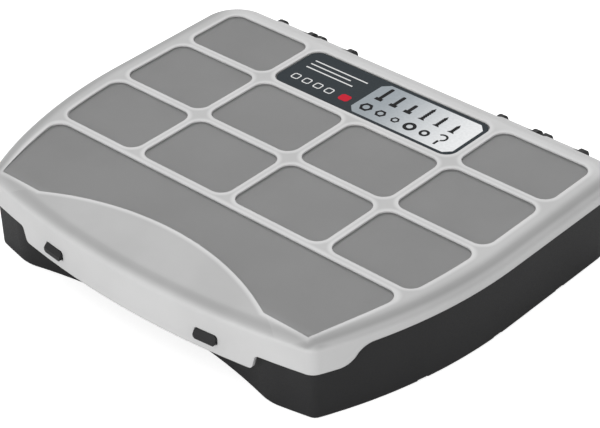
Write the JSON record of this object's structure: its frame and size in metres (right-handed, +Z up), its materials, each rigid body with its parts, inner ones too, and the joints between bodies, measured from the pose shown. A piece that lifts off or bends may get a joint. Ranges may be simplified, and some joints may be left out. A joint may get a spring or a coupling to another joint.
{
  "type": "compartment organizer box",
  "caption": "Shallow organizer box with a black compartment tray, removable dividers and a frosted hinged lid with recessed panes and a front snap skirt.",
  "frame": {"origin": "under the middle of the closed box's outer extents, on the surface it stands on", "axes": "+X along the hinge, to the right seen from the front; +Y from the front skirt to the hinge; +Z up"},
  "size_m": [0.25, 0.2074, 0.042],
  "materials": {
    "tray_plastic": "matte",
    "lid_plastic": "frosted, translucent",
    "printed_card": "satin"
  },
  "bodies": {
    "base": {"tray_bay_back": "tray_plastic", "tray_bay_middle": "tray_plastic", "tray_bay_front": "tray_plastic", "tray_bay_long": "tray_plastic", "tray_bay_nose": "tray_plastic", "front_rail": "tray_plastic", "row_wall_back": "tray_plastic", "row_wall_middle": "tray_plastic", "row_wall_front": "tray_plastic", "divider_back_1": "tray_plastic", "divider_back_2": "tray_plastic", "divider_back_3": "tray_plastic", "divider_middle_1": "tray_plastic", "divider_middle_2": "tray_plastic", "divider_middle_3": "tray_plastic", "divider_front_1": "tray_plastic", "divider_front_2": "tray_plastic", "divider_front_3": "tray_plastic"},
    "lid_body": {"lid": "lid_plastic", "label_card": "printed_card"}
  },
  "joints": [
    {"name": "lid_hinge", "type": "hinge", "parent": "base", "child": "lid_body", "pos_m": [0, 0.09935, 0.0328], "axis": [-1, 0, 0], "range_deg": [0, 180]}
  ]
}
